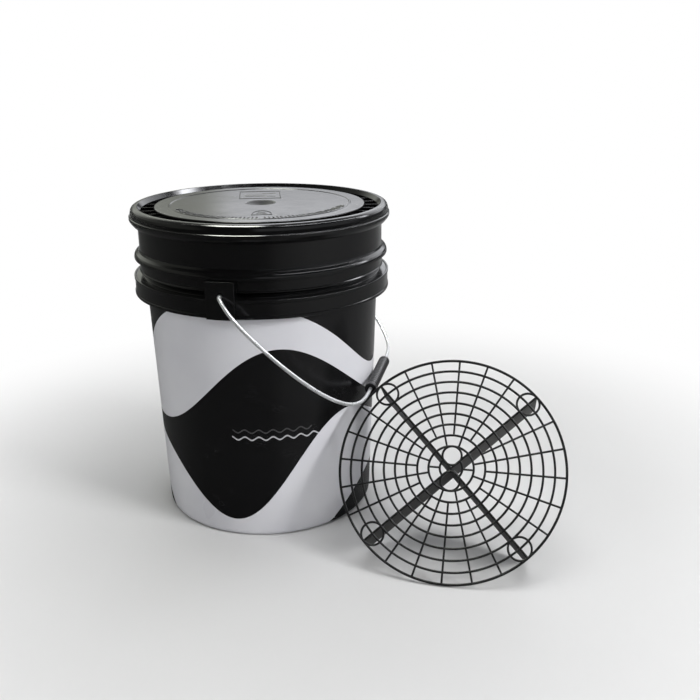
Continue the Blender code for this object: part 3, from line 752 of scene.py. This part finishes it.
def mark_strokes():
    """All strokes as (start, end, width, height): a frame, a half disc and an arc of ticks."""
    strokes = [(FRAME[i], FRAME[(i + 1) % 4], *LINE) for i in range(4)]
    strokes += [((start, away), (stop, away), 1.6, 0.35) for away, start, stop in FRAME_DASHES]
    strokes += [(start, end, *LINE) for start, end in zip(DISC_ARC, DISC_ARC[1:])]
    strokes.append(((-10.0, -82.0), (12.0, -82.0), *LINE))
    strokes += [((start, away), (stop, away), 1.8, 0.4) for away, start, stop in DISC_DASHES]
    for k in range(-TICKS_EACH_SIDE, TICKS_EACH_SIDE + 1):
        if k == 0:
            continue
        a = math.radians(-90.0 + k * TICK_DEG)
        radii = (97.2, 103.6) if k % 3 else (99.0, 102.0)
        start, end = [(radius * math.cos(a), radius * math.sin(a)) for radius in radii]
        strokes.append((start, end, 1.7 + 0.7 * (k % 2), 0.5))
    return strokes


def mark_bar(start, end, width, height):
    """Low rounded bar on the panel."""
    turn = Matrix.Rotation(math.radians(FACE_DEG + 90.0), 2)
    start = (turn @ Vector(start)).to_3d()
    end = (turn @ Vector(end)).to_3d()
    along = (end - start).normalized()
    side = Vector((-along.y, along.x, 0.0))
    first, second = [[point + side * width * across
                      + Vector((0.0, 0.0, MARK_Z + height * up)) for across, up in MARK_SECTION]
                     for point in (start - along * width / 2, end + along * width / 2)]
    return prism(first, second)


def build_marks(plastic):
    bars = [mark_bar(*stroke) for stroke in mark_strokes()]
    marks = make_object("lid_moulded_marks", joined(bars), plastic, sharp=50.0)
    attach(marks, "lid")


# ---------------------------------------------------------------- gasket
# radius, height, fillet
GASKET = [
    (142.9, RIM_Z + GAP, 0.7), (148.0, RIM_Z + GAP, 0.7),
    (148.0, RIM_Z + 2.3, 0.7), (142.9, RIM_Z + 2.3, 0.7),
]


def build_gasket(foam):
    gasket = make_object("lid_gasket_ring", revolve(rounded(GASKET)), foam)
    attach(gasket, "lid")
    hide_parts("lid_gasket")
    return gasket


# ---------------------------------------------------------------- bail and grip
BAIL_REST = math.radians(46.7)                # swing from hanging straight down towards +X
BAIL_DROP, BAIL_HALF, BAIL_FLAT = 197.0, 178.8, 54.0
BAIL_POWER = 2.82                             # squareness of the superellipse at each side
BAIL_FLARE, BAIL_FLARE_DROP = 20.8, 20.9      # inward pull near the pivot, and how it fades
BAIL_STEPS = 90
BEND_R, BEND_DEG, BEND_STEPS = 5.0, 50, 8     # bend just outside the ear
BAIL_ENDS = [149.0, 149.4, 150.4, 150.8, 151.1, 154.0, 156.0]   # stations through the ear
HEAD_RADII = [3.3, 3.9, 3.9, 3.3]             # upset head at the first stations
GRIP_R, GRIP_HALF = 7.0, 50.0
GROOVES, GROOVE_PITCH, GROOVE_DEPTH = 16, 5.6, 0.7
GRIP_SIDES = 56

PIVOT = Vector((0.0, 0.0, AXIS_Z))
ALONG = Vector((0.0, -1.0, 0.0))              # pivot axis
DROP = Vector((math.sin(BAIL_REST), 0.0, -math.cos(BAIL_REST)))
ASIDE = ALONG.cross(DROP)                     # square to the bail's plane


def bail_path():
    """Wire centreline as (distance along the pivot axis, drop from it), front to back."""
    half = [(reach, 0.0) for reach in BAIL_ENDS]
    for k in range(1, BEND_STEPS + 1):
        a = math.radians(BEND_DEG * k / BEND_STEPS)
        half.append((BAIL_ENDS[-1] + BEND_R * math.sin(a), BEND_R * (1 - math.cos(a))))
    for k in range(1, BAIL_STEPS):
        a = 0.5 * math.pi * (k / BAIL_STEPS) ** 1.15
        drop = BAIL_DROP * math.sin(a) ** (2 / BAIL_POWER)
        if drop < BEND_R - 0.6:
            continue
        reach = BAIL_FLAT + (BAIL_HALF - BAIL_FLAT) * math.cos(a) ** (2 / BAIL_POWER)
        half.append((reach - BAIL_FLARE * math.exp(-drop / BAIL_FLARE_DROP), drop))
    half += [(BAIL_FLAT, BAIL_DROP), (BAIL_FLAT * 0.5, BAIL_DROP), (0.0, BAIL_DROP)]
    return half + [(-reach, drop) for reach, drop in reversed(half[:-1])]


def build_bail(steel):
    path = bail_path()
    last = len(path) - 1
    rings = []
    for n, (reach, drop) in enumerate(path):
        before, after = path[max(n - 1, 0)], path[min(n + 1, last)]
        flow = Vector((after[0] - before[0], after[1] - before[1])).normalized()
        normal = ALONG * -flow.y + DROP * flow.x
        from_end = min(n, last - n)
        radius = HEAD_RADII[from_end] if from_end < len(HEAD_RADII) else WIRE_R - 0.15
        centre = PIVOT + ALONG * reach + DROP * drop
        rings.append(round_section(centre, normal, ASIDE, radius, sides=24))
    bail = make_object("bail_wire_rod", loft(rings), steel, sharp=50.0)
    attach(bail, "bail")
    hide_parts("bail_wire")


def build_grip(plastic):
    """Grooved sleeve on the flat of the bail."""
    bore = WIRE_R + GAP
    groove_r = GRIP_R - GROOVE_DEPTH
    first = -GRIP_HALF + 6.0
    # radius, distance along, fillet
    profile = [(bore, -GRIP_HALF, 0.3), (GRIP_R, -GRIP_HALF, 1.0), (GRIP_R, first - 1.0, 0.5)]
    for n in range(GROOVES):
        start = first + GROOVE_PITCH * n
        profile += [(groove_r, start, 0.5), (groove_r, start + 1.2, 0.5),
                    (GRIP_R, start + 2.2, 0.7), (GRIP_R, start + 4.6, 0.7)]
    profile += [(GRIP_R, GRIP_HALF, 1.0), (bore, GRIP_HALF, 0.3)]
    outline = rounded(profile, steps=3)
    centre = PIVOT + DROP * BAIL_DROP
    rings = []
    for k in range(GRIP_SIDES):
        a = 2 * math.pi * k / GRIP_SIDES
        spoke = DROP * math.cos(a) + ASIDE * math.sin(a)
        rings.append([centre + spoke * radius + ALONG * along for radius, along in outline])
    grip = make_object("bail_grip_sleeve", loft(rings, closed=True), plastic, sharp=45.0)
    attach(grip, "grip")
    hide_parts("bail_grip")


# ---------------------------------------------------------------- grit guard
RING_STEP, RINGS = 12.7, 10
BAR, BAR_T, OUTER_BAR = 2.5, 3.0, 2.8         # bar width and thickness, outer ring's width
VANE_T, VANE_DEPTH, VANE_BACK_R = 2.6, 52.5, 126.0
DIAGONALS = (45, 135, 225, 315)
SPOKES = {15: 3, 30: 2, 45: 3, 60: 2, 75: 3}  # degrees past a diagonal: ring it starts from
LEAN = math.radians(37.6)

GUARD_RIGHT = Vector((1.0, 0.0, 0.0))
GUARD_OUT = Vector((0.0, -math.cos(LEAN), math.sin(LEAN)))      # out of the front face
GUARD_UP = GUARD_OUT.cross(GUARD_RIGHT)
# the middle of the front face, raised so that the outer ring's back edge meets the floor
HUB = Vector((247.0, -112.5, (RINGS * RING_STEP + OUTER_BAR / 2) * GUARD_UP.z
              + BAR_T * GUARD_OUT.z))


def guard_point(x, y, depth):
    """Point in the guard's plane, depth behind its front face."""
    return HUB + GUARD_RIGHT * x + GUARD_UP * y - GUARD_OUT * depth


def bar_section(width, top, bottom, radius):
    """Rounded bar section as (sideways, depth) points."""
    side = width / 2 - radius
    corners = ((side, top + radius, -90), (side, bottom - radius, 0),
               (-side, bottom - radius, 90), (-side, top + radius, 180))
    out = []
    for x, depth, start in corners:
        for k in range(4):
            a = math.radians(start + 90 * k / 3)
            out.append((x + radius * math.cos(a), depth + radius * math.sin(a)))
    return out


def guard_bar(frames, section, closed=False):
    """Section carried along (x, y, sideways x, sideways y) frames."""
    return loft([[guard_point(x + side_x * off, y + side_y * off, depth)
                  for off, depth in section] for x, y, side_x, side_y in frames], closed)


def curved_bar(x, y, radius, steps, section, start=0.0, stop=360.0):
    """Bar along an arc or a full circle round (x, y)."""
    closed = stop - start == 360.0
    frames = []
    for k in range(steps if closed else steps + 1):
        a = math.radians(start + (stop - start) * k / steps)
        cos, sin = math.cos(a), math.sin(a)
        frames.append((x + radius * cos, y + radius * sin, cos, sin))
    return guard_bar(frames, section, closed)


def straight_bar(x0, y0, x1, y1, section):
    length = math.hypot(x1 - x0, y1 - y0)
    side_x, side_y = -(y1 - y0) / length, (x1 - x0) / length
    return guard_bar([(x0, y0, side_x, side_y), (x1, y1, side_x, side_y)], section)


def guard_bars():
    ring = bar_section(BAR, 0.0, BAR_T, radius=0.85)
    outer_ring = bar_section(OUTER_BAR, 0.0, BAR_T, radius=0.85)
    spoke = bar_section(BAR * 0.88, 0.12, BAR_T - 0.14, radius=0.8)
    loop = bar_section(BAR * 0.96, 0.06, BAR_T - 0.07, radius=0.8)

    # the innermost ring is two arcs, open at top and bottom
    bars = [curved_bar(0, 0, RING_STEP, 18, ring, start, start + 90) for start in (-45, 135)]
    for i in range(2, RINGS + 1):
        section = outer_ring if i == RINGS else ring
        bars.append(curved_bar(0, 0, i * RING_STEP, 60 + 14 * i, section))
    for diagonal in DIAGONALS:
        for offset, inner in SPOKES.items():
            a = math.radians(diagonal + offset)
            cos, sin = math.cos(a), math.sin(a)
            r0, r1 = inner * RING_STEP, RINGS * RING_STEP
            bars.append(straight_bar(r0 * cos, r0 * sin, r1 * cos, r1 * sin, spoke))
    for side in (1.0, -1.0):
        bars.append(straight_bar(RING_STEP * side, 0.0, 2 * RING_STEP * side, 0.0, spoke))
    # small loops above and below the hub, and one near the rim on each diagonal
    for y in (14.6, -14.6):
        bars.append(curved_bar(0.0, y, 10.8, 48, loop))
    for diagonal in DIAGONALS:
        cos, sin = math.cos(math.radians(diagonal)), math.sin(math.radians(diagonal))
        bars.append(curved_bar(9 * RING_STEP * cos, 9 * RING_STEP * sin, RING_STEP, 52, loop))
    return bars


def vane_plates():
    """Two crossed plates; the second is a hair thinner and shallower than the first."""
    front_r = RINGS * RING_STEP - 0.4
    plates = []
    for number, diagonal in enumerate(DIAGONALS[:2]):
        cos, sin = math.cos(math.radians(diagonal)), math.sin(math.radians(diagonal))
        half = VANE_T / 2 - 0.02 * number
        back = VANE_DEPTH - 0.05 * number
        # distance from the hub, depth
        outline = [(-front_r, 0.18), (front_r, 0.18), (front_r, BAR_T),
                   (VANE_BACK_R, back), (-VANE_BACK_R, back), (-front_r, BAR_T)]
        first, second = [[guard_point(run * cos - off * sin, run * sin + off * cos, depth)
                          for run, depth in outline] for off in (-half, half)]
        plates.append(prism(first, second))
    return plates


def build_guard(plastic):
    guard = make_object("grit_guard_grid", joined(guard_bars()), plastic, sharp=40.0)
    inward = -GUARD_OUT
    # vane plastic: real dust on top faces, plus a painted lighter grey on the sides behind the
    # front edges for the light they catch
    vane_dust_and_painted_light = moulded("vane_moulded_black", base=(0.0065, 0.0065, 0.0065), rough=0.34, dust=0.010,
                    peel=0.010, scratch=0.9, painted_light_plane=(tuple(inward), inward.dot(HUB) * MM))
    vanes = make_object("grit_guard_vanes", joined(vane_plates()), vane_dust_and_painted_light)
    soften(vanes, width=0.5, segments=3)
    shade_smooth(vanes.data, 35.0)
    for obj in (guard, vanes):
        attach(obj, "guard")
    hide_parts("grit_guard")
    return guard, vanes


# ---------------------------------------------------------------- floor
FLOOR_HALF, FLOOR_Z = 30.0, -0.0004           # metres
AWAY_X, AWAY_Y = -0.2028, 0.9792              # level direction away from the viewer
# brightness that glossy rays find on the floor, by turn round the pail's axis:
# position, grey; 0.5 is straight behind the pail, more is to the right
FLOOR_MIRRORED = [
    (0.0, 0.05), (0.15, 0.05), (0.245, 0.085), (0.385, 0.07), (0.408, 0.10), (0.436, 0.50),
    (0.460, 0.48), (0.481, 0.12), (0.519, 0.12), (0.550, 0.34), (0.575, 0.36), (0.616, 0.23),
    (0.700, 0.17), (0.755, 0.17), (0.866, 0.19), (0.946, 0.14), (0.975, 0.05), (1.0, 0.05),
]


def floor_material():
    """Pale floor that fades to white for the camera and is darker in reflections."""
    mat = Material("pale_studio_floor")
    rays = mat.node("ShaderNodeLightPath")
    is_camera = Value(mat, rays.outputs["Is Camera Ray"])
    is_glossy = Value(mat, rays.outputs["Is Glossy Ray"])
    tone = mat.mix(mat.ramp(mat.noise(size=420.0, detail=3.0), over=(0.3, 0.7)),
                   (0.665, 0.665, 0.665), (0.695, 0.695, 0.695))
    x, y, _ = mat.split(mat.place)
    behind = x * AWAY_X + y * AWAY_Y
    beside = x * AWAY_Y + y * -AWAY_X
    turn = mat.calc("ARCTAN2", beside, behind).scaled(by=0.5 / math.pi, plus=0.5)
    mirrored = mat.node("ShaderNodeValToRGB", {0: turn})
    stops = mirrored.color_ramp.elements
    for k, (position, grey) in enumerate(FLOOR_MIRRORED):
        stop = stops[k] if k < 2 else stops.new(position)    # a ramp starts with two stops
        stop.position = position
        stop.color = (grey, grey, grey, 1.0)
    colour = mat.mix(is_glossy * 1.0, tone, Value(mat, mirrored.outputs["Color"]))
    grain = mat.noise(size=3.0, detail=3.0, rough=0.6)
    mat.set(Base_Color=colour, Roughness=0.7, Specular_IOR_Level=0.15,
            Normal=mat.bump(grain, depth=0.05, strength=0.4))

    distance = mat.vector_calc("DISTANCE", mat.place, (0.11, 0.0, 0.0))
    white = mat.run("ShaderNodeEmission", {"Color": (1.0, 1.0, 1.0)})
    fade = is_camera * mat.ease(distance, over=(0.30, 0.80))
    surface = mat.run("ShaderNodeMixShader",
                      {0: fade, 1: Value(mat, mat.shader.outputs[0]), 2: white})
    mat.put(mat.tree.nodes["Material Output"].inputs["Surface"], surface)
    return mat.data


def build_floor():
    material = floor_material()
    mesh = bpy.data.meshes.new("studio_floor")
    corners = [(x * FLOOR_HALF, y * FLOOR_HALF, FLOOR_Z)
               for x, y in ((-1, -1), (1, -1), (1, 1), (-1, 1))]
    mesh.from_pydata(corners, [], [(0, 1, 2, 3)])
    mesh.materials.append(material)
    floor = bpy.data.objects.new("studio_floor", mesh)
    bpy.context.scene.collection.objects.link(floor)


# ---------------------------------------------------------------- light
def build_world():
    """Studio seen in reflections: a card behind, two lamps overhead, a dim surround."""
    data = bpy.data.worlds.new("soft_studio")
    bpy.context.scene.world = data
    data.use_nodes = True
    nodes = data.node_tree.nodes
    nodes.clear()
    output = nodes.new("ShaderNodeOutputWorld")
    background = nodes.new("ShaderNodeBackground")
    data.node_tree.links.new(background.outputs[0], output.inputs[0])
    world = Graph(data.node_tree, "Generated")
    ease = world.ease

    # each direction as parts away from the viewer, to the right and up
    view = math.atan2(LOOK[1], LOOK[0])
    axes = ((math.cos(view), math.sin(view), 0.0), (math.sin(view), -math.cos(view), 0.0),
            (0.0, 0.0, 1.0))
    ahead, right, up = [world.vector_calc("DOT_PRODUCT", world.place, axis) for axis in axes]
    bearing = world.calc("ARCTAN2", right, ahead)   # 0 straight behind the pail, + to the right
    left_end = (-0.175, -0.130)                     # bearings over which the card dims

    # bright card low behind the pail, dimmer past its left end
    card = (ease(bearing, over=left_end, to=(0.33, 1.0))
            * ease(bearing, over=(0.75, 1.0), to=(1.0, 0.25)))
    card = card + ease(bearing, over=(-0.235, -0.190), to=(0.11, 0.0))
    card = card * ease(bearing, over=(-1.0, -0.6))
    card = card * (ease(up, over=(0.10, 0.22)) * ease(up, over=(0.52, 0.66), to=(1.0, 0.0)))

    # narrow lamps overhead, a long curved one to the right and a short one to the left
    curve = (right * right).scaled(by=1.05, plus=-0.25)
    right_lamp = ease(abs(ahead - curve), over=(0.06, 0.12), to=(1.0, 0.0))
    right_lamp = right_lamp * (ease(right, over=(0.14, 0.26))
                               * ease(right, over=(0.70, 0.85), to=(1.0, 0.0)))
    left_lamp = ease(abs(ahead - 0.17), over=(0.10, 0.16), to=(1.0, 0.0))
    left_lamp = left_lamp * (ease(right, over=(-0.42, -0.28))
                             * ease(right, over=(-0.08, 0.04), to=(1.0, 0.0)))
    lamps = right_lamp * 3.2 + left_lamp * 5.0
    lamps = lamps * ease(up, over=(0.30, 0.45))

    left_glow = ease(right, over=(-0.85, -0.60), to=(0.20, 0.0)) * ease(up, over=(0.05, 0.20))
    surround = ease(ahead, over=(-0.5, 0.7), to=(0.025, 0.14)) + left_glow

    # lamps show to glossy rays only, and the camera sees plain white
    rays = world.node("ShaderNodeLightPath")
    is_camera = Value(world, rays.outputs["Is Camera Ray"])
    lamps = lamps * (Value(world, rays.outputs["Is Glossy Ray"]) * 7.0)
    level = card * 1.62 + (lamps + surround)
    strength = world.blend(is_camera, level, 1.0)
    tint = world.mix(ease(bearing, over=left_end), (1.0, 1.03, 0.93), (0.975, 0.99, 1.03))
    colour = world.mix(is_camera, tint, (1.0, 1.0, 1.0))
    world.put(background.inputs["Color"], colour)
    world.put(background.inputs["Strength"], strength)


def area_light(name, location, target, size, power):
    """Square area light, unseen in reflections; metres and watts."""
    data = bpy.data.lights.new(name, "AREA")
    data.shape = "RECTANGLE"
    data.size = size
    data.size_y = size
    data.energy = power
    obj = bpy.data.objects.new(name, data)
    obj.location = location
    obj.rotation_mode = "QUATERNION"
    obj.rotation_quaternion = (Vector(target) - Vector(location)).to_track_quat("-Z", "Y")
    obj.visible_glossy = False
    bpy.context.scene.collection.objects.link(obj)


def build_camera():
    data = bpy.data.cameras.new("camera")
    data.lens = 44.20
    data.sensor_width = 36.0
    data.clip_start = 0.02
    data.clip_end = 100.0
    camera = bpy.data.objects.new("camera", data)
    bpy.context.scene.collection.objects.link(camera)
    eye = Vector(EYE)
    look = Vector(LOOK).normalized()
    right = Vector(RIGHTWARD)
    right = (right - look * right.dot(look)).normalized()
    upright = right.cross(look)
    camera.matrix_world = Matrix((
        (right.x, upright.x, -look.x, eye.x),
        (right.y, upright.y, -look.y, eye.y),
        (right.z, upright.z, -look.z, eye.z),
        (0.0, 0.0, 0.0, 1.0),
    ))
    bpy.context.scene.camera = camera
    bpy.context.scene.view_settings.view_transform = "Standard"


# ---------------------------------------------------------------- build
pail_plastic = moulded("pail_moulded_black", base=(0.0023, 0.0023, 0.0025), rough=0.13,
                       dust=0.006, peel=0.0022, scuff=(1.0, 7.0))
lid_plastic = moulded("lid_moulded_black", base=(0.0030, 0.0030, 0.0032), rough=0.125,
                      dust=0.012, wave=0.042, peel=0.0016, scratch=0.08, gate=17.4)
mark_plastic = moulded("lid_mark_black", base=(0.004, 0.004, 0.004), rough=0.45, dust=0.002)
grip_plastic = moulded("grip_moulded_black", base=(0.007, 0.007, 0.0075), rough=0.28,
                       dust=0.01, peel=0.012)
guard_plastic = moulded("guard_moulded_black", base=(0.0065, 0.0065, 0.0065), rough=0.34,
                        dust=0.010, peel=0.010, scratch=0.9)
label_film = printed_film()
wire_steel = galvanised_steel()
foam = gasket_foam()

pail = build_pail(pail_plastic)
label = build_label(label_film)
lid, lid_ribs = build_lid(lid_plastic)
build_marks(mark_plastic)
gasket = build_gasket(foam)
build_bail(wire_steel)
build_grip(grip_plastic)
guard, vanes = build_guard(guard_plastic)
flatten_shading(pail, label, lid, lid_ribs, gasket, guard, vanes)

build_floor()
build_world()
area_light("key_right", location=(2.9, -1.0, 1.6), target=(0.1, 0.0, 0.2), size=1.0, power=78.0)
area_light("fill_left", location=(-2.3, -2.1, 1.7), target=(0.0, 0.0, 0.2), size=1.6, power=25.0)
area_light("top_soft", location=(0.1, 0.1, 2.6), target=(0.1, 0.0, 0.0), size=1.8, power=34.0)
build_camera()
